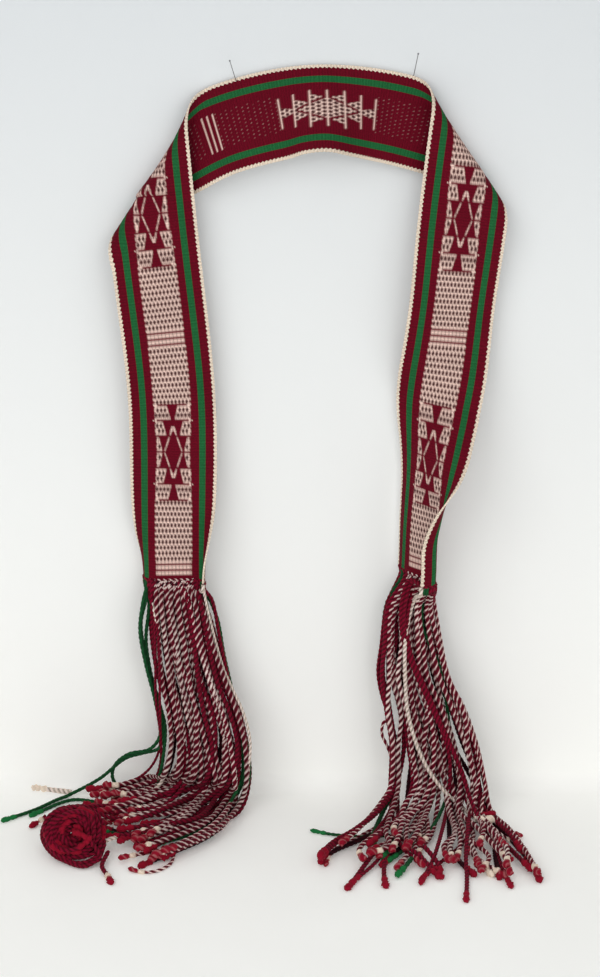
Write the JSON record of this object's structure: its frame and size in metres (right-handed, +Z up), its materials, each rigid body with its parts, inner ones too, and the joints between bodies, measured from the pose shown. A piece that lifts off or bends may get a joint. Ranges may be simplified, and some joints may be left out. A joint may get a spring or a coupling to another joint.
{
  "type": "dance sash on two pins",
  "caption": "Long woven wool sash hung over straight pins as at a neck, with two hanging legs and plied fringes that trail on the floor.",
  "frame": {"origin": "at the wall, midway between the places where the two pins enter it", "axes": "+Z up, +Y into the wall, +X to the viewer's right"},
  "size_m": [0.5452, 0.2457, 0.7946],
  "materials": {
    "woven_wool": "warp-faced wool weave, matt",
    "plied_wool_cord": "plied wool cord, matt",
    "pin_steel": "drawn steel wire, satin"
  },
  "bodies": {
    "root": {"sash_band": "woven_wool", "fringe_left": "plied_wool_cord", "fringe_right": "plied_wool_cord", "pin_left": "pin_steel", "pin_right": "pin_steel"}
  },
  "joints": []
}
